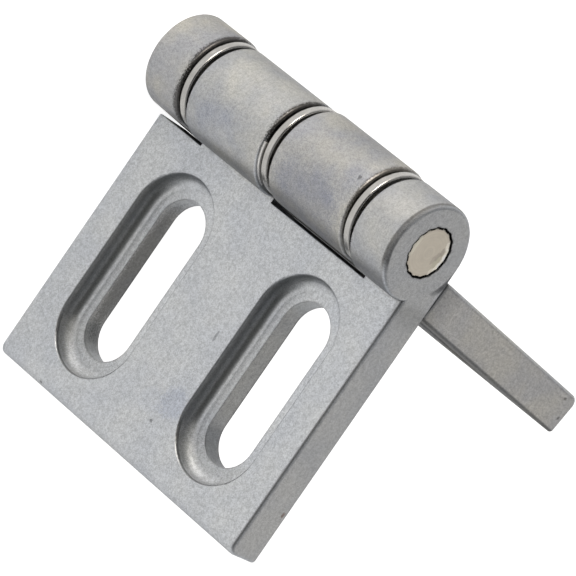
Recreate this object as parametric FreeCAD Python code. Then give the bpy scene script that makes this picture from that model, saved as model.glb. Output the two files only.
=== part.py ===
import FreeCAD, Part
import math
import os

# A heavy cast butt hinge: two equal leaves with two knuckles each, a knurled pin and three ring washers.
# Millimetres. +Z runs up the pin towards its knurled end. The hinge stands on the lower end of the
# swinging leaf, which has slid a little down the pin, and the origin is on the pin's axis in the plane
# of that end. The fixed leaf runs along +X and its slotted front faces -Y. The swinging leaf is drawn
# folded back, a little past square. Heights are measured from the fixed leaf's lower end.

# Hinge as a whole
hinge_length = 55.0        # each leaf along the pin
leaf_drop = 0.4            # swinging leaf below the fixed leaf
rest_angle = 81.5          # between the two mounting faces as drawn, which is also the closed stop
stop_clearance = 0.1       # between a leaf's root edge and the other leaf's back at that stop

# Leaf
leaf_reach = 49.4          # pin axis to free edge
leaf_thickness = 6.2
root_setback = 0.7         # beyond the knuckles' crease, where a leaf is milled away at its front face
free_edge_front_radius = 1.4
free_edge_back_radius = 0.5
cast_edge_radius = 0.6     # round the leaf's two ends, knuckle and corners included
root_edge_radius = 0.15    # milled edges beside the other leaf's knuckles

# Knuckles
barrel_diameter = 15.0
barrel_offset = 0.3        # barrel's centre from the pin axis, towards the leaf
end_knuckle_length = 7.8
outer_gap = 2.05           # end knuckle to the next one, with the leaves level
middle_gap = 2.6           # between the two long knuckles, with the leaves level
knuckle_end_radius = 0.5   # milled ends, next to a washer

# Pin
knuckle_wall = 3.9         # from the pin to a knuckle's outside, before the offset
pin_clearance = 0.05       # radial, in every knuckle and washer
pin_recess_top = 0.1       # knurled end below the top knuckle's face
pin_recess_bottom = 0.6    # lower end above the fixed leaf's
pin_end_radius = 0.5       # knurled end
pin_chamfer = 0.5          # lower end
knurl_height = 0.4
knurl_ribs = 16
knurl_rib_width = 0.8      # at the foot, twice the width of the crest
knurl_length = 6.0
relief_width = 0.3         # groove round the knurled end, in the top knuckle's face
relief_depth = 0.7

# Ring washers
washer_setback = 0.3       # below the knuckles' outside, all round
washer_thickness = 1.3
washer_edge_radius = 0.3
washer_lift = 0.42         # under side of a washer above the knuckle below it

# Fixing slots, two in each leaf, for socket-head screws
slot_width = 9.0
slot_length = 26.4         # end to end, across the pin
slot_spacing = 28.7        # centre to centre, along the pin
slot_offset = 28.6         # pin axis to the middle of each slot
pocket_width = 15.0        # counterbore at the front face
pocket_length = 32.7
pocket_depth = 2.6
pocket_draft = 4.0         # degrees, each wall
pocket_floor_radius = 1.6
pocket_rim_radius = 0.3
slot_edge_radius = 0.45    # at the mounting face

barrel_radius = barrel_diameter / 2
pin_radius = barrel_radius - knuckle_wall
washer_radius = barrel_radius - washer_setback
back_y = barrel_radius
front_y = back_y - leaf_thickness
bore_radius = pin_radius + pin_clearance
knurl_radius = pin_radius + knurl_height
knurl_angle = 360 / knurl_ribs
middle_knuckle_low = end_knuckle_length + outer_gap
middle_knuckle_high = (hinge_length - middle_gap) / 2
bottom_knuckle_high = end_knuckle_length - leaf_drop
upper_knuckle_high = hinge_length - middle_knuckle_low - leaf_drop
top_knuckle_low = hinge_length - end_knuckle_length
half_angle = math.radians(rest_angle / 2)
root_front = barrel_offset + math.sqrt(barrel_radius**2 - front_y**2) + root_setback
root_back = back_y / math.tan(half_angle) + stop_clearance
up = FreeCAD.Vector(0, 0, 1)
axis_point = FreeCAD.Vector(0, 0, 0)


def polygon_prism(points, low, high):
    """Prism on the plane z = low, with its corners at the given x and y."""
    corners = [FreeCAD.Vector(x, y, low) for x, y in points]
    face = Part.Face(Part.makePolygon(corners + corners[:1]))
    return face.extrude(FreeCAD.Vector(0, 0, high - low))


def cylinder(radius, low, high, x=0.0, y=0.0):
    return Part.makeCylinder(radius, high - low, FreeCAD.Vector(x, y, low), up)


def stadium(width, length, y, z):
    """Round-ended outline in the plane of a leaf, long across the pin, centred at slot_offset."""
    radius = width / 2
    reach = length / 2 - radius
    left = slot_offset - reach
    right = slot_offset + reach
    top_left = FreeCAD.Vector(left, y, z + radius)
    top_right = FreeCAD.Vector(right, y, z + radius)
    low_right = FreeCAD.Vector(right, y, z - radius)
    low_left = FreeCAD.Vector(left, y, z - radius)
    right_end = FreeCAD.Vector(right + radius, y, z)
    left_end = FreeCAD.Vector(left - radius, y, z)
    edges = [
        Part.LineSegment(top_left, top_right).toShape(),
        Part.Arc(top_right, right_end, low_right).toShape(),
        Part.LineSegment(low_right, low_left).toShape(),
        Part.Arc(low_left, left_end, top_left).toShape(),
    ]
    return Part.Wire(edges)


def slot_cutter(z):
    """Drafted counterbore with a rounded floor edge, and the straight slot through its floor."""
    shrink = 2 * pocket_depth * math.tan(math.radians(pocket_draft))
    floor_y = front_y + pocket_depth
    mouth = stadium(pocket_width, pocket_length, front_y, z)
    floor = stadium(pocket_width - shrink, pocket_length - shrink, floor_y, z)
    pocket = Part.makeLoft([mouth, floor], True, True)
    floor_edges = [e for e in pocket.Edges if edge_in_plane(e, 1, floor_y)]
    pocket = pocket.makeFillet(pocket_floor_radius, floor_edges)
    above = Part.Face(mouth).extrude(FreeCAD.Vector(0, -leaf_thickness, 0))
    slot = Part.Face(stadium(slot_width, slot_length, front_y, z))
    slot = slot.extrude(FreeCAD.Vector(0, 2 * leaf_thickness, 0))
    return pocket.fuse([above, slot])


def edge_in_plane(edge, axis, value):
    """Whether an edge lies in the plane where coordinate number axis has the value."""
    box = edge.BoundBox
    low = (box.XMin, box.YMin, box.ZMin)[axis]
    high = (box.XMax, box.YMax, box.ZMax)[axis]
    return abs(low - value) < 0.01 and abs(high - value) < 0.01


def knurl(clearance, low, high):
    """Core of the pin's knurled end with its ribs, which taper outwards, grown by a clearance."""
    core = cylinder(pin_radius + clearance, low, high)
    foot = pin_radius - knurl_height
    tip = knurl_radius + knurl_height
    half_foot = knurl_rib_width / 2 + clearance
    half_tip = knurl_rib_width / 4 + clearance
    outline = [(foot, -half_foot), (tip, -half_tip), (tip, half_tip), (foot, half_foot)]
    rib = polygon_prism(outline, low, high)
    ribs = []
    for number in range(knurl_ribs):
        copy = rib.copy()
        copy.rotate(axis_point, up, number * knurl_angle)
        ribs.append(copy)
    return core.fuse(ribs).common(cylinder(knurl_radius + clearance, low, high))


def make_leaf(grooved):
    """Leaf in the fixed leaf's place. Its knuckles are the second from the bottom and the top one,
    and the top one is grooved where the pin's ribs have been pressed into it."""
    knuckles = [
        (middle_knuckle_low, middle_knuckle_high),
        (top_knuckle_low, hinge_length),
    ]
    notches = [
        (-1.0, middle_knuckle_low),
        (middle_knuckle_high, top_knuckle_low),
    ]
    leaf = leaf_plate()
    slope = (root_back - root_front) / leaf_thickness
    above = root_front - slope * barrel_radius
    below = root_back + slope * barrel_radius
    beside = -barrel_diameter
    for low, high in notches:
        outline = [
            (beside, front_y - barrel_radius), (above, front_y - barrel_radius),
            (below, back_y + barrel_radius), (beside, back_y + barrel_radius),
        ]
        leaf = leaf.cut(polygon_prism(outline, low, high))
    barrels = [cylinder(barrel_radius, low, high, barrel_offset) for low, high in knuckles]
    leaf = leaf.fuse(barrels).removeSplitter()
    leaf = round_cast_edges(leaf, knuckles)
    cutters = [cylinder(bore_radius, -1.0, hinge_length + 1.0)]
    if grooved:
        cutters.append(knurl(pin_clearance, top_knuckle_low - 1.0, hinge_length + 1.0))
        cutters.append(cylinder(pin_radius + relief_width, hinge_length - relief_depth, hinge_length + 1.0))
    for z in (hinge_length / 2 - slot_spacing / 2, hinge_length / 2 + slot_spacing / 2):
        cutters.append(slot_cutter(z))
    leaf = leaf.cut(cutters)
    slot_mouths = [e for e in leaf.Edges if edge_in_plane(e, 1, back_y) and on_outline(e, slot_length)]
    leaf = leaf.makeFillet(slot_edge_radius, slot_mouths)
    rims = [e for e in leaf.Edges if edge_in_plane(e, 1, front_y) and on_outline(e, pocket_length)]
    return leaf.makeFillet(pocket_rim_radius, rims).Solids[0]


def on_outline(edge, length):
    """Whether an edge of a leaf's face belongs to the outline of a slot or counterbore so long."""
    box = edge.BoundBox
    margin = 0.01
    low = slot_offset - length / 2 - margin
    high = slot_offset + length / 2 + margin
    ends_clear = box.ZMin > cast_edge_radius and box.ZMax < hinge_length - cast_edge_radius
    return box.XMin > low and box.XMax < high and ends_clear


def leaf_plate():
    """Plate from the barrel's centre to the free edge, whose two long edges are cast round."""
    front_start = FreeCAD.Vector(barrel_offset, front_y, 0)
    back_start = FreeCAD.Vector(barrel_offset, back_y, 0)
    front_round = quarter_round(free_edge_front_radius, front_y, 1)
    back_round = quarter_round(free_edge_back_radius, back_y, -1)
    edges = [
        Part.LineSegment(front_start, front_round[0]).toShape(),
        Part.Arc(*front_round).toShape(),
        Part.LineSegment(front_round[2], back_round[2]).toShape(),
        Part.Arc(*back_round).toShape(),
        Part.LineSegment(back_round[0], back_start).toShape(),
        Part.LineSegment(back_start, front_start).toShape(),
    ]
    outline = Part.Wire(Part.__sortEdges__(edges))
    return Part.Face(outline).extrude(FreeCAD.Vector(0, 0, hinge_length))


def quarter_round(radius, face_y, inward):
    """Three points of the round from a leaf's face to its free edge."""
    centre_x = leaf_reach - radius
    centre_y = face_y + inward * radius
    middle = radius * math.sqrt(0.5)
    return (
        FreeCAD.Vector(centre_x, face_y, 0),
        FreeCAD.Vector(centre_x + middle, centre_y - inward * middle, 0),
        FreeCAD.Vector(leaf_reach, centre_y, 0),
    )


def round_cast_edges(leaf, knuckles):
    """Cast rounds along the outline of both end faces, and small ones where the leaf is milled."""
    ends = [e for e in leaf.Edges if edge_in_plane(e, 2, 0) or edge_in_plane(e, 2, hinge_length)]
    leaf = leaf.makeFillet(cast_edge_radius, ends)
    milled = []
    for low, high in knuckles:
        for z in (low, high):
            if z < hinge_length:
                milled += [e for e in leaf.Edges if edge_in_plane(e, 2, z) and on_barrel(e)]
    leaf = leaf.makeFillet(knuckle_end_radius, milled)
    roots = [e for e in leaf.Edges if edge_in_plane(e, 0, root_front) and edge_in_plane(e, 1, front_y)]
    return leaf.makeFillet(root_edge_radius, roots)


def on_barrel(edge):
    """Whether an edge is an arc of a knuckle's outside."""
    curve = edge.Curve
    return isinstance(curve, Part.Circle) and abs(curve.Radius - barrel_radius) < 0.01


def make_pin():
    low = pin_recess_bottom
    high = hinge_length - pin_recess_top
    shank = cylinder(pin_radius, low, high)
    shank = shank.makeChamfer(pin_chamfer, [e for e in shank.Edges if edge_in_plane(e, 2, low)])
    ribs = knurl(0.0, high - knurl_length, high)
    envelope = cylinder(knurl_radius, low, high)
    envelope = envelope.makeFillet(pin_end_radius, [e for e in envelope.Edges if edge_in_plane(e, 2, high)])
    return shank.fuse(ribs).common(envelope).Solids[0]


def make_washer(low):
    high = low + washer_thickness
    ring = cylinder(washer_radius, low, high)
    rims = [e for e in ring.Edges if edge_in_plane(e, 2, low) or edge_in_plane(e, 2, high)]
    ring = ring.makeFillet(washer_edge_radius, rims)
    return ring.cut(cylinder(bore_radius, low - 1.0, high + 1.0)).Solids[0]


def main():
    swinging_leaf = make_leaf(False)
    swinging_leaf.rotate(FreeCAD.Vector(0, 0, hinge_length / 2), FreeCAD.Vector(0, 1, 0), 180)
    swinging_leaf.rotate(axis_point, up, rest_angle - 180)
    swinging_leaf.translate(up * -leaf_drop)
    parts = {
        "fixed_leaf": make_leaf(True),
        "swinging_leaf": swinging_leaf,
        "hinge_pin": make_pin(),
        "lower_washer": make_washer(bottom_knuckle_high + washer_lift),
        "middle_washer": make_washer(middle_knuckle_high + washer_lift),
        "upper_washer": make_washer(upper_knuckle_high + washer_lift),
    }
    os.makedirs("parts", exist_ok=True)
    for name, shape in parts.items():
        shape.translate(up * leaf_drop)
        print(name, shape.ShapeType, shape.isValid(), round(shape.Volume, 1))
        shape.exportStep("parts/" + name + ".step")


main()
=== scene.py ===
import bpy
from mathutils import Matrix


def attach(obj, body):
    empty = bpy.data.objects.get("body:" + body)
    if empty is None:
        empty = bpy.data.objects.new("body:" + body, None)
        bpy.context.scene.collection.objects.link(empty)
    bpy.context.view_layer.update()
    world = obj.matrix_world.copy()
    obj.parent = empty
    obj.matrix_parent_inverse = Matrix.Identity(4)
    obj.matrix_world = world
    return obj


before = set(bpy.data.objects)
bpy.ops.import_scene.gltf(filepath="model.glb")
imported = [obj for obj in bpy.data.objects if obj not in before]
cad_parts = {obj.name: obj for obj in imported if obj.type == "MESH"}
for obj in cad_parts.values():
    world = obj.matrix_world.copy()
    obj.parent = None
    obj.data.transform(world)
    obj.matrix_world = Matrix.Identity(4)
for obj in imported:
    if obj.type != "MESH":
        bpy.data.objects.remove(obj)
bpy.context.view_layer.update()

import math

import bmesh
import bpy
from mathutils import Quaternion, Vector


# Fixed leaf: a stainless casting with the second and the top knuckle. It comes out of the mould
# with soft round edges, is milled beside the knuckles and bead blasted all over, which leaves a
# fine grey speckle. It lay against tools and other castings, so it has a few pits and a scratch.
def feed(tree, sockets, values):
    """Links each named socket to another node's socket, or sets it to a plain value."""
    for label, value in values.items():
        if isinstance(value, bpy.types.NodeSocket):
            tree.links.new(value, sockets[label])
        else:
            sockets[label].default_value = value


def node(tree, kind, inputs=None, **settings):
    """A new node with these settings, and its inputs linked or set."""
    made = tree.nodes.new(kind)
    for key, value in settings.items():
        setattr(made, key, value)
    feed(tree, made.inputs, inputs or {})
    return made


def new_group(name, inputs, outputs):
    """A group with named inputs and their values, and with outputs of one number each."""
    group = bpy.data.node_groups.new(name, "ShaderNodeTree")
    for label, value in inputs.items():
        kind = "NodeSocketVector" if isinstance(value, tuple) else "NodeSocketFloat"
        socket = group.interface.new_socket(label, in_out="INPUT", socket_type=kind)
        socket.default_value = value
    for label in outputs:
        group.interface.new_socket(label, in_out="OUTPUT", socket_type="NodeSocketFloat")
    given = group.nodes.new("NodeGroupInput").outputs
    return group, given, group.nodes.new("NodeGroupOutput").inputs


def placed(tree, group, inputs):
    """The outputs of a group that is put into a material."""
    return node(tree, "ShaderNodeGroup", inputs, node_tree=group).outputs


def math_node(tree, operation, *values, clamp=False):
    made = node(
        tree, "ShaderNodeMath", dict(enumerate(values)), operation=operation, use_clamp=clamp,
    )
    return made.outputs[0]


def product(tree, *values):
    """All the values multiplied together."""
    result = values[0]
    for value in values[1:]:
        result = math_node(tree, "MULTIPLY", result, value)
    return result


def mixture(tree, first, first_share, second, second_share):
    """Two values, each times its share, added together."""
    return math_node(
        tree, "ADD", product(tree, first, first_share), product(tree, second, second_share),
    )


def from_axis(tree, split):
    """The distance from the pin's axis."""
    squares = [product(tree, split.outputs[axis], split.outputs[axis]) for axis in ("X", "Y")]
    return math_node(tree, "SQRT", math_node(tree, "ADD", *squares))


def map_range(tree, value, start, end, low=0.0, high=1.0, curve="SMOOTHSTEP"):
    """Goes from low to high while the value goes from start to end, and stays level outside."""
    made = node(
        tree, "ShaderNodeMapRange",
        {"Value": value, "From Min": start, "From Max": end, "To Min": low, "To Max": high},
        interpolation_type=curve,
    )
    return made.outputs["Result"]


def between(tree, value, low, high, soft):
    """One where the value lies between low and high, nought outside, with soft ends."""
    rise = map_range(tree, value, low - soft, low + soft)
    fall = map_range(tree, value, high - soft, high + soft)
    return math_node(tree, "SUBTRACT", rise, fall)


def noise(tree, coordinate, scale, detail, roughness):
    """Cloudy unevenness, finer at a larger scale."""
    made = node(tree, "ShaderNodeTexNoise", {
        "Vector": coordinate, "Scale": scale, "Detail": detail, "Roughness": roughness,
    })
    return made.outputs["Fac"]


def ramp(tree, factor, stops):
    """Runs through the stops, each a position and a colour or a grey."""
    made = node(tree, "ShaderNodeValToRGB", {"Fac": factor})
    elements = made.color_ramp.elements
    while len(elements) < len(stops):
        elements.new(0.5)
    for element, (position, colour) in zip(elements, stops):
        element.position = position
        element.color = (*colour, 1) if isinstance(colour, tuple) else (colour, colour, colour, 1)
    return made.outputs["Color"]


def toned(tree, colour, mask, tone):
    """The colour, multiplied by the tone where the mask is one."""
    if isinstance(tone, tuple):
        tone = (*tone, 1)
    made = node(
        tree, "ShaderNodeMix", {"Factor": mask, "A": colour, "B": tone},
        data_type="RGBA", blend_type="MULTIPLY",
    )
    return made.outputs["Result"]


# Bead blasting: a slow cloudiness, a fine salt and pepper of dimples, and their relief.
blast, given, result = new_group(
    "bead blast", {"Coordinate": (0, 0, 0)}, ["Cloud", "Speckle", "Relief"],
)
wide = noise(blast, given["Coordinate"], scale=130, detail=2.0, roughness=0.5)
close = noise(blast, given["Coordinate"], scale=420, detail=2.0, roughness=0.5)
fine = noise(blast, given["Coordinate"], scale=2000, detail=2.0, roughness=0.6)
finer = noise(blast, given["Coordinate"], scale=6500, detail=0.0, roughness=0.5)
speckle = mixture(blast, fine, 0.48, finer, 0.52)
feed(blast, result, {
    "Cloud": mixture(blast, wide, 0.75, close, 0.25),
    "Speckle": speckle,
    "Relief": mixture(blast, speckle, 0.8, close, 0.12),
})

# Edges and corners: how far a surface leans away from what it would be with its edges rounded.
# The materials darken their colour there as painted shade, for the dark reflection on round edges.
edge_gain = 6.0
edges, given, result = new_group("rounded edge", {"Radius": 0.0006}, ["Edge"])
rounded = node(edges, "ShaderNodeBevel", {"Radius": given["Radius"]}, samples=8)
geometry = edges.nodes.new("ShaderNodeNewGeometry")
agreement = node(
    edges, "ShaderNodeVectorMath", {0: rounded.outputs["Normal"], 1: geometry.outputs["Normal"]},
    operation="DOT_PRODUCT",
)
turned = math_node(edges, "SUBTRACT", 1.0, agreement.outputs["Value"])
feed(edges, result, {"Edge": math_node(edges, "MULTIPLY", turned, edge_gain, clamp=True)})

# Areas of a leaf: the counterbores' long walls and the slots' walls, which get painted shade, the
# counterbores' floors, which get a painted light, the flat back with its dull casting skin, the
# rubbed knuckles, the root of the top end with its painted shade, and the relief round the pin,
# painted black as shade. Pocket and Lip are the counterbores' free ends and the rims of these, Lip
# with a painted dark line of shade, and Rim is the outer edge of the top knuckle, with painted
# shade. The coordinate has the leaf along X and its face at right angles to Y. Each range below
# says where something starts, where it ends and how soft its ends are, in metres. Depths are from
# the pin's axis towards the back: the face lies at 1.3 mm and the back at 7.5 mm.
counterbores_along = (0.010, 0.0475, 0.0003)
counterbores_up = (0.003, 0.0525, 0.0003)
wall_depth = (0.0014, 0.0040, 0.0003)
slot_depth = (0.0040, 0.0072, 0.00015)
floor_depth = (0.0032, 0.0041, 0.0003)
pocket_depth = (0.00145, 0.0045, 0.0001)
lip_depth = (0.00134, 0.0019, 0.00003)
free_end_along = (0.0395, 0.06, 0.0015)
back_along = (0.0045, 0.06, 0.001)
back_depth = (0.0071, 0.0080, 0.0002)
knuckle_radius = (0.0060, 0.0082, 0.0004)
ring_radius = (0.0030, 0.00396, 0.00003)
rim_radius = (0.0071, 0.0080, 0.0002)
rim_along = (-0.02, 0.0045, 0.001)
rim_up = (0.0545, 0.060, 0.0002)
root_along = (0.0078, 0.1, 0.0012)
root_up = (0.0545, 0.060, 0.0003)
# The same for how level a surface lies: one is level, nought stands upright.
level_slope = (0.5, 2.0, 0.3)
steep_slope = (0.35, 0.97, 0.2)
leaning_slope = (0.3, 2.0, 0.2)
areas, given, result = new_group(
    "leaf areas", {"Coordinate": (0, 0, 0), "Root Start": 0.012, "Root End": 0.048},
    ["Wall", "Slot", "Floor", "Back", "Knuckle", "Root", "Ring", "Pocket", "Lip", "Rim"],
)
split = node(areas, "ShaderNodeSeparateXYZ", {0: given["Coordinate"]})
along = split.outputs["X"]
up = split.outputs["Z"]
depth = math_node(areas, "ABSOLUTE", split.outputs["Y"])
radius = from_axis(areas, split)
geometry = areas.nodes.new("ShaderNodeNewGeometry")
facing = node(areas, "ShaderNodeSeparateXYZ", {0: geometry.outputs["Normal"]})
slope = math_node(areas, "ABSOLUTE", facing.outputs["Z"])
level = between(areas, slope, *level_slope)
steep = between(areas, slope, *steep_slope)
sheer = math_node(areas, "SUBTRACT", 1.0, between(areas, slope, *leaning_slope))
inside = product(
    areas, between(areas, along, *counterbores_along), between(areas, up, *counterbores_up),
)
free_end = between(areas, along, *free_end_along)
fade = map_range(areas, along, given["Root Start"], given["Root End"], 1.0, 0.0, "LINEAR")
feed(areas, result, {
    "Wall": product(areas, inside, steep, between(areas, depth, *wall_depth)),
    "Slot": product(areas, inside, level, between(areas, depth, *slot_depth)),
    "Floor": product(areas, inside, sheer, between(areas, depth, *floor_depth)),
    "Back": product(areas, between(areas, along, *back_along), between(areas, depth, *back_depth)),
    "Knuckle": product(areas, sheer, between(areas, radius, *knuckle_radius)),
    "Root": product(
        areas, fade, between(areas, along, *root_along), between(areas, up, *root_up),
    ),
    "Ring": between(areas, radius, *ring_radius),
    "Pocket": product(areas, inside, between(areas, depth, *pocket_depth), free_end),
    "Lip": product(areas, inside, between(areas, depth, *lip_depth), free_end),
    "Rim": product(
        areas, between(areas, radius, *rim_radius), between(areas, up, *rim_up),
        between(areas, along, *rim_along),
    ),
})

# A pit, spot or scratch, or a patch of painted shade or highlight: an ellipsoid round a point,
# with a ragged outline.
mark_reach = 1.35
mark_softness = 0.25
mark, given, result = new_group(
    "small mark", {"Coordinate": (0, 0, 0), "Centre": (0, 0, 0), "Size": (1, 1, 1)}, ["Mark"],
)
offset = node(
    mark, "ShaderNodeVectorMath", {0: given["Coordinate"], 1: given["Centre"]},
    operation="SUBTRACT",
)
scaled = node(
    mark, "ShaderNodeVectorMath", {0: offset.outputs[0], 1: given["Size"]}, operation="DIVIDE",
)
reach = node(mark, "ShaderNodeVectorMath", {0: scaled.outputs[0]}, operation="LENGTH")
tatters = noise(mark, given["Coordinate"], scale=5000, detail=1.0, roughness=0.5)
ragged = math_node(mark, "ADD", reach.outputs["Value"], tatters)
feed(mark, result, {"Mark": map_range(
    mark, ragged, mark_reach - mark_softness, mark_reach + mark_softness, 1.0, 0.0,
)})


def marked(tree, colour, place, marks):
    """The colour with its marks, real ones and patches of painted shade or highlight: each a centre
    and half sizes in millimetres, and a tone.
    """
    for centre, half_size, tone in marks:
        spot = placed(tree, mark, {
            "Coordinate": place,
            "Centre": [value / 1000 for value in centre],
            "Size": [value / 1000 for value in half_size],
        })
        colour = toned(tree, colour, spot["Mark"], tone)
    return colour


def new_material(name):
    """A new material, its nodes and its shader."""
    material = bpy.data.materials.new(name)
    material.use_nodes = True
    return material, material.node_tree, material.node_tree.nodes["Principled BSDF"]


def add_bump(tree, shader, relief, strength, distance):
    bump = node(
        tree, "ShaderNodeBump", {"Height": relief, "Strength": strength, "Distance": distance},
    )
    feed(tree, shader.inputs, {"Normal": bump.outputs["Normal"]})


def dress(part, material):
    """Puts this material on a piece, in place of the plain one that it came with."""
    part.data.materials.clear()
    part.data.materials.append(material)


# Where the slow clouds reach their one colour and their other, on every metal here.
cloud_low = 0.38
cloud_high = 0.62
# What each area's colour is multiplied by: painted shade on the walls, the slots' walls, the root,
# the relief round the pin, the top knuckle's rim and the counterbores' lips, painted light on the
# counterbores' floors, and a darker tone on the back's casting skin.
area_tones_and_painted_light = {
    "Wall": (0.57, 0.575, 0.57),
    "Slot": (0.77, 0.77, 0.76),
    "Floor": (1.05, 1.05, 1.05),
    "Back": (0.52, 0.52, 0.52),
    "Root": (0.75, 0.75, 0.74),
    "Ring": (0.12, 0.12, 0.12),
    "Rim": (0.5, 0.5, 0.5),
    "Lip": (0.55, 0.55, 0.55),
}
speckle_tones = [(0.34, 0.81), (0.5, 1.0), (0.66, 1.18)]
speckle_roughness = [(0.3, 0.47), (0.7, 0.37)]
knuckle_patches = [(0.42, (0.94, 0.95, 0.975)), (0.6, (1.05, 1.045, 1.025))]
cast_edge_radius = 0.0005
# Painted shade on the rounded cast edges, for their dark reflection.
cast_edge_shade = (0.67, 0.67, 0.67)
extra_roughness = 0.35
pocket_share = 0.7
back_metallic = 0.5
blast_strength = 0.45
blast_depth = 0.00005


def cast_material(name, leaf_angle, cool, warm, knuckle_tone, root_reach, marks=()):
    """Blasted casting of a leaf that stands at this angle round the pin, with its marks."""
    material, tree, shader = new_material(name)
    place = tree.nodes.new("ShaderNodeTexCoord").outputs["Object"]
    turning = node(tree, "ShaderNodeMapping", {"Vector": place, "Rotation": (0, 0, -leaf_angle)})
    along_leaf = turning.outputs["Vector"]
    skin = placed(tree, blast, {"Coordinate": along_leaf})
    area = placed(tree, areas, {
        "Coordinate": along_leaf, "Root Start": root_reach[0], "Root End": root_reach[1],
    })
    edge = placed(tree, edges, {"Radius": cast_edge_radius})

    colour = ramp(tree, skin["Cloud"], [(cloud_low, cool), (cloud_high, warm)])
    colour = toned(tree, colour, 1.0, ramp(tree, skin["Speckle"], speckle_tones))
    for label, tone in area_tones_and_painted_light.items():
        colour = toned(tree, colour, area[label], tone)
    colour = toned(tree, colour, area["Knuckle"], knuckle_tone)
    colour = toned(tree, colour, area["Knuckle"], ramp(tree, skin["Cloud"], knuckle_patches))
    colour = toned(tree, colour, edge["Edge"], cast_edge_shade)
    colour = marked(tree, colour, place, marks)

    dull = math_node(tree, "MAXIMUM", area["Back"], product(tree, area["Pocket"], pocket_share))
    dull = product(tree, math_node(tree, "MAXIMUM", dull, area["Rim"]), extra_roughness)
    rough = math_node(tree, "ADD", ramp(tree, skin["Speckle"], speckle_roughness), dull)
    feed(tree, shader.inputs, {
        "Base Color": colour,
        "Roughness": rough,
        "Metallic": map_range(tree, area["Back"], 0.0, 1.0, 1.0, back_metallic, "LINEAR"),
        "Specular Tint": (0.6, 0.6, 0.6, 1),
        "Specular IOR Level": 0.15,
    })
    add_bump(tree, shader, skin["Relief"], blast_strength, blast_depth)
    return material


fixed_marks_and_painted_light = [
    # On the face: a scratch, a dot, a pit, and two cooler patches.
    ((27.7, 1.3, 32.0), (0.9, 0.6, 0.28), (0.62, 0.62, 0.62)),
    ((42.6, 1.3, 31.0), (0.3, 0.6, 0.3), (0.5, 0.5, 0.5)),
    ((48.9, 1.3, 10.3), (0.35, 0.6, 0.35), (0.45, 0.45, 0.45)),
    ((40.3, 1.3, 29.0), (2.2, 1.0, 2.6), (0.93, 0.94, 0.97)),
    ((38.7, 1.3, 32.6), (2.6, 1.0, 2.6), (0.86, 0.88, 0.94)),
    # A brown spot on the top end, and the shade on the lower slot's lower wall.
    ((41.4, 6.4, 55.4), (0.45, 0.35, 0.5), (0.6, 0.5, 0.47)),
    ((28.6, 5.8, 9.4), (14.0, 2.0, 1.6), (0.55, 0.55, 0.55)),
    # On the knuckles: the top one's shaded side, painted shade on the upper rim of the second one,
    # and a painted highlight and a cooler patch on it.
    ((-3.2, -6.7, 51.0), (4.0, 4.0, 5.5), (0.93, 0.93, 0.94)),
    ((-5.2, -5.9, 26.75), (8.0, 8.0, 1.0), (0.16, 0.15, 0.14)),
    ((-3.9, -6.6, 19.5), (5.0, 5.0, 7.0), (1.1, 1.09, 1.06)),
    ((4.0, -6.5, 17.0), (3.5, 3.5, 5.0), (0.92, 0.94, 1.0)),
]
fixed_root_reach = (0.008, 0.012)
dress(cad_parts["fixed_leaf"], cast_material(
    "blasted casting", leaf_angle=0.0, cool=(0.48, 0.497, 0.524), warm=(0.52, 0.532, 0.543),
    knuckle_tone=(0.86, 0.84, 0.81), root_reach=fixed_root_reach, marks=fixed_marks_and_painted_light,
))


# Burr: a thin bright lip of the fixed leaf's own steel, on the second knuckle's upper end, on the
# side of the leaf's face. The cutter left it where the milled end meets the skin of the casting.
def finished_mesh(name, shape):
    data = bpy.data.meshes.new(name)
    shape.to_mesh(data)
    shape.free()
    return data


def add_object(name, data):
    made = bpy.data.objects.new(name, data)
    bpy.context.scene.collection.objects.link(made)
    return made


burr_inside = 0.0068
burr_outside = 0.0074
burr_foot = 0.02645
burr_top = 0.02698
burr_start = math.radians(-80)
burr_turn = math.radians(58)
burr_steps = 28
burr_rounding = 0.00009
sharp_angle = 0.6
burr_mesh = bmesh.new()
corners = [
    (burr_inside, burr_foot), (burr_outside, burr_foot),
    (burr_outside, burr_top), (burr_inside, burr_top),
]
profile = burr_mesh.faces.new([
    burr_mesh.verts.new((reach * math.cos(burr_start), reach * math.sin(burr_start), height))
    for reach, height in corners
])
bmesh.ops.spin(
    burr_mesh, geom=[*burr_mesh.verts, *burr_mesh.edges, profile], cent=(0, 0, 0), axis=(0, 0, 1),
    angle=burr_turn, steps=burr_steps, use_merge=False,
)
bmesh.ops.recalc_face_normals(burr_mesh, faces=burr_mesh.faces)
sharp_edges = [edge for edge in burr_mesh.edges if edge.calc_face_angle(0.0) > sharp_angle]
bmesh.ops.bevel(
    burr_mesh, geom=sharp_edges, offset=burr_rounding, segments=2, profile=0.5, affect="EDGES",
    material=-1,
)
burr_data = finished_mesh("knuckle_burr", burr_mesh)
burr_data.shade_smooth()
burr_data.materials.append(cast_material(
    "bright burr", leaf_angle=0.0, cool=(0.55, 0.55, 0.56), warm=(0.62, 0.61, 0.60),
    knuckle_tone=(1.0, 1.0, 1.0), root_reach=fixed_root_reach,
))
burr = add_object("knuckle_burr", burr_data)
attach(burr, "fixed_side")


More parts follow.
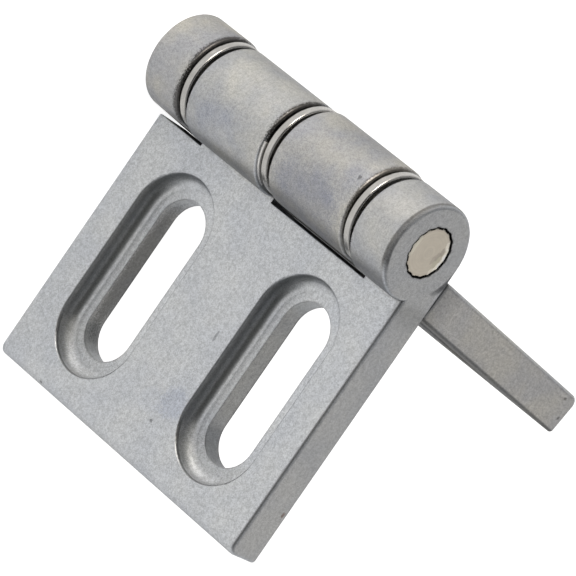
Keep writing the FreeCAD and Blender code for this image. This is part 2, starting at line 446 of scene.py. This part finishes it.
# Swinging leaf: the same casting turned end for end, with the lowest and the third knuckle, turning
# freely on the pin. Its blasting is a shade greyer and its top end has two small pits.
swinging_marks_and_painted_shade = [
    # Two pits on the top end and one on the third knuckle.
    ((9.3, 45.5, 55.0), (0.3, 0.4, 0.5), (0.5, 0.5, 0.5)),
    ((12.2, 46.8, 55.0), (0.35, 0.3, 0.5), (0.5, 0.5, 0.5)),
    ((-2.9, -6.6, 43.4), (0.4, 0.4, 0.35), (0.5, 0.5, 0.5)),
    # Painted shade on the upper rims of the third and the lowest knuckle, this one in two
    # stretches.
    ((-5.2, -5.9, 45.3), (8.5, 8.5, 0.95), (0.36, 0.34, 0.31)),
    ((-5.2, -5.9, 7.95), (8.5, 8.5, 1.15), (0.2, 0.19, 0.18)),
    ((5.5, -6.0, 7.95), (6.0, 6.0, 1.15), (0.3, 0.29, 0.28)),
    # The third knuckle, which is darker, and cooler on the side of the fixed leaf.
    ((1.0, -3.0, 37.0), (12.0, 12.0, 8.5), (0.84, 0.85, 0.88)),
    ((3.4, -6.2, 37.0), (3.8, 3.8, 7.6), (0.84, 0.855, 0.91)),
]
swinging_angle = math.radians(81.5)
swinging_root_reach = (0.009, 0.014)
dress(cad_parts["swinging_leaf"], cast_material(
    "blasted casting, second", leaf_angle=swinging_angle, cool=(0.475, 0.48, 0.495),
    warm=(0.53, 0.525, 0.505), knuckle_tone=(0.88, 0.87, 0.855), root_reach=swinging_root_reach,
    marks=swinging_marks_and_painted_shade,
))


# Ring washers: three turned and polished rings, loose on the pin between the knuckles. Turning
# leaves fine grooves that run round them.
lathe, given, result = new_group(
    "lathe grooves", {"Coordinate": (0, 0, 0), "Scale": 9000},
    ["Grooves", "Tone", "Cloud", "Radius"],
)
split = node(lathe, "ShaderNodeSeparateXYZ", {0: given["Coordinate"]})
radius = from_axis(lathe, split)
round_pin = node(lathe, "ShaderNodeCombineXYZ", {"X": radius, "Z": split.outputs["Z"]})
grooves = noise(lathe, round_pin.outputs[0], scale=given["Scale"], detail=2.0, roughness=0.7)
cloud = noise(lathe, given["Coordinate"], scale=500, detail=2.0, roughness=0.6)
feed(lathe, result, {
    "Grooves": grooves,
    "Tone": mixture(lathe, grooves, 0.5, cloud, 0.5),
    "Cloud": cloud,
    "Radius": radius,
})

turned_edge_radius = 0.00025
# Painted shade on the rounded turned edges, for their dark reflection.
turned_edge_shade = (0.6, 0.6, 0.6)
roughness_spread = 0.12
groove_strength = 0.35
groove_depth = 0.00002
gap_shade_tone = (0.1, 0.1, 0.1)
gap_shade_softness = 0.00004


def turned_material(name, light, dark, roughness, groove_scale, shade_from=None, marks=()):
    """Steel off the lathe, with painted shade on its rounded edges, and painted black shade beyond
    a given radius, for the gap round it.
    """
    material, tree, shader = new_material(name)
    place = tree.nodes.new("ShaderNodeTexCoord").outputs["Object"]
    turning = placed(tree, lathe, {"Coordinate": place, "Scale": groove_scale})
    edge = placed(tree, edges, {"Radius": turned_edge_radius})
    colour = ramp(tree, turning["Tone"], [(cloud_low, dark), (cloud_high, light)])
    colour = toned(tree, colour, edge["Edge"], turned_edge_shade)
    # Painted black shade for the gap round a pin's end, beyond the radius where it starts.
    if shade_from is not None:
        shade_start, shade_end = shade_from - gap_shade_softness, shade_from + gap_shade_softness
        colour = toned(tree, colour, map_range(tree, turning["Radius"], shade_start, shade_end), gap_shade_tone)
    rough_stops = [(0.35, roughness), (0.7, roughness + roughness_spread)]
    feed(tree, shader.inputs, {
        "Base Color": marked(tree, colour, place, marks),
        "Roughness": ramp(tree, turning["Cloud"], rough_stops),
        "Metallic": 1.0,
    })
    add_bump(tree, shader, turning["Grooves"], groove_strength, groove_depth)
    return material


washer_metal = turned_material(
    "turned washer", light=(0.52, 0.51, 0.49), dark=(0.38, 0.37, 0.355), roughness=0.2,
    groove_scale=9000,
)
for name in ("lower_washer", "middle_washer", "upper_washer"):
    dress(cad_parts[name], washer_metal)


# Pin: turned steel, pushed in from the top. Ribs rolled into its upper end bite into the fixed
# leaf's top knuckle and hold it, and the gap round their tips is painted black as shade.
# Where the painted black shade of the gap round the ribs' tips starts.
pin_shade_from = 0.0037
pin_painted_light = [
    # On its upper end: a painted highlight in an arc on the rounded rim,
    ((2.3, 2.7, 55.3), (0.9, 0.5, 1.0), (1.3, 1.33, 1.36)),
    ((1.4, 3.2, 55.3), (1.0, 0.5, 1.0), (1.5, 1.55, 1.6)),
    ((0.3, 3.5, 55.3), (1.2, 0.5, 1.0), (1.5, 1.55, 1.6)),
    ((-0.9, 3.4, 55.3), (1.2, 0.5, 1.0), (1.5, 1.55, 1.6)),
    ((-2.1, 2.8, 55.3), (1.0, 0.55, 1.0), (1.35, 1.4, 1.45)),
    # painted shade in a streak inside it and between them,
    ((-0.9, 2.45, 55.3), (0.8, 0.4, 1.0), (0.74, 0.73, 0.74)),
    ((-0.1, 2.05, 55.3), (0.8, 0.4, 1.0), (0.8, 0.79, 0.8)),
    ((0.7, 1.6, 55.3), (0.8, 0.4, 1.0), (0.84, 0.83, 0.84)),
    ((0.8, 2.5, 55.3), (1.4, 0.7, 1.0), (0.9, 0.92, 0.89)),
    # and a painted highlight on the rim across from them.
    ((0.0, -3.4, 55.3), (3.0, 0.6, 1.0), (1.12, 1.16, 1.16)),
]
dress(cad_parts["hinge_pin"], turned_material(
    "pin steel", light=(0.72, 0.67, 0.585), dark=(0.60, 0.56, 0.49), roughness=0.34,
    groove_scale=2500, shade_from=pin_shade_from, marks=pin_painted_light,
))


# Floor, room and camera: the hinge stands on its lower end on a pale floor, inside a pale sweep
# that rises behind it and has a darker patch in front, under a dimmer ceiling with a light
# overhead. A warm soft lamp stands on the left and a weak one behind.
def plain_look(tree, looks):
    """One for a look that comes straight or through glass, nought for one by a mirror."""
    return math_node(tree, "MAXIMUM", looks["Is Camera Ray"], looks["Is Transmission Ray"])


floor_half_width = 1.5
floor_glow = 0.85
floor_glow_mirrored = 0.62
floor_mesh = bmesh.new()
bmesh.ops.create_grid(floor_mesh, x_segments=1, y_segments=1, size=floor_half_width)
floor = add_object("floor", finished_mesh("floor", floor_mesh))
paper, tree, shader = new_material("pale floor")
looks = tree.nodes.new("ShaderNodeLightPath").outputs
glow = math_node(
    tree, "MAXIMUM", product(tree, plain_look(tree, looks), floor_glow),
    product(tree, looks["Is Glossy Ray"], floor_glow_mirrored),
)
feed(tree, shader.inputs, {
    "Base Color": (0.85, 0.85, 0.85, 1),
    "Roughness": 0.9,
    "Emission Color": (1, 1, 1, 1),
    "Emission Strength": glow,
})
floor.data.materials.append(paper)

# The room's light goes by height, where one is straight up and nought is level: it falls from the
# walls to the ceiling, and rises again overhead. The darker patch lies round its own direction.
wall_light, ceiling_light = 0.95, 0.32
wall_top, ceiling_edge = 0.15, 0.6
overhead_light = 0.5
overhead_rim, overhead_middle = 0.84, 0.97
patch_direction = (-0.085, -0.75, 0.655)
patch_light = 0.1
patch_rim, patch_middle = 0.4, 0.95
world = bpy.data.worlds.new("room")
bpy.context.scene.world = world
world.use_nodes = True
tree = world.node_tree
direction = tree.nodes.new("ShaderNodeTexCoord").outputs["Generated"]
height = node(tree, "ShaderNodeSeparateXYZ", {0: direction}).outputs["Z"]
towards = node(
    tree, "ShaderNodeVectorMath", {0: direction, 1: patch_direction}, operation="DOT_PRODUCT",
)
walls = map_range(tree, height, wall_top, ceiling_edge, wall_light, ceiling_light)
patch = map_range(tree, towards.outputs["Value"], patch_rim, patch_middle, 1.0, patch_light)
overhead = map_range(tree, height, overhead_rim, overhead_middle, 0.0, overhead_light)
room = math_node(tree, "MAXIMUM", product(tree, walls, patch), overhead)
looks = tree.nodes.new("ShaderNodeLightPath").outputs
feed(tree, tree.nodes["Background"].inputs, {
    "Color": (1, 1, 1, 1),
    "Strength": math_node(tree, "MAXIMUM", plain_look(tree, looks), room),
})

lamp_target = Vector((0.02, 0.01, 0.03))


def soft_lamp(name, direction, distance, size, power, colour):
    """A round lamp that looks at the hinge from this direction."""
    data = bpy.data.lights.new(name, "AREA")
    data.shape = "DISK"
    data.size = size
    data.energy = power
    data.color = colour
    lamp = add_object(name, data)
    lamp.location = lamp_target + Vector(direction).normalized() * distance
    lamp.rotation_mode = "QUATERNION"
    lamp.rotation_quaternion = (lamp_target - lamp.location).to_track_quat("-Z", "Y")


soft_lamp(
    "left lamp", direction=(-0.75, -0.65, 0.10), distance=0.6, size=0.35, power=3.2,
    colour=(1.0, 0.94, 0.85),
)
soft_lamp(
    "back lamp", direction=(0.25, 0.75, 0.65), distance=0.7, size=0.5, power=0.25,
    colour=(1.0, 0.92, 0.82),
)

# The camera stands where the outlines in the photograph put it: far off, with a long lens.
camera_data = bpy.data.cameras.new("camera")
camera_data.lens = 334.378
camera_data.sensor_width = 36.0
camera_data.clip_start = 0.01
camera_data.clip_end = 10.0
camera = add_object("camera", camera_data)
camera.location = (-0.064079594, -0.568026242, 0.494016651)
camera.rotation_mode = "QUATERNION"
camera.rotation_quaternion = Quaternion((0.43962228, 0.15734003, -0.40545953, 0.7858619))
bpy.context.scene.camera = camera
bpy.context.scene.view_settings.view_transform = "Standard"
